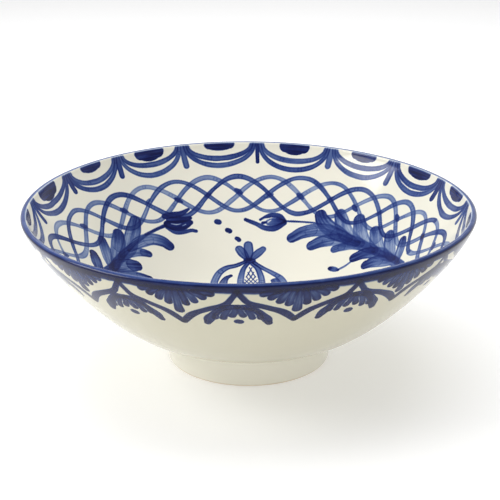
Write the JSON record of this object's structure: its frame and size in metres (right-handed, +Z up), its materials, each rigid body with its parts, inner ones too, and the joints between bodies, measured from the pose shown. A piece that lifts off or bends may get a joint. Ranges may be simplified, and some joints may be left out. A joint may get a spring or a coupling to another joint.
{
  "type": "serving bowl",
  "caption": "Wide footed porcelain serving bowl with a flaring wall, rounded cobalt lip, luted foot ring and glossy cream glaze painted in blue brushwork.",
  "frame": {"origin": "centre of the foot's contact ring, on the surface that the bowl stands on", "axes": "+Z up along the bowl's turning axis, towards the open mouth; X and Y are level and interchangeable"},
  "size_m": [0.3402, 0.3402, 0.1235],
  "materials": {
    "fired_clay": "bare biscuit-fired clay, matt, seen only on the foot's contact ring",
    "fired_slip": "fired luting slip, matt, under the glaze",
    "cream_glaze": "glossy warm white glaze, slightly uneven",
    "cobalt_glaze": "glossy brushed cobalt blue, darker where it pools"
  },
  "bodies": {
    "root": {"bowl_body": "fired_clay", "foot_ring": "fired_clay", "luting_seam": "fired_slip", "inner_glaze": "cream_glaze", "outer_glaze": "cream_glaze", "foot_glaze": "cream_glaze", "recess_glaze": "cream_glaze", "rim_band": "cobalt_glaze"}
  },
  "joints": []
}
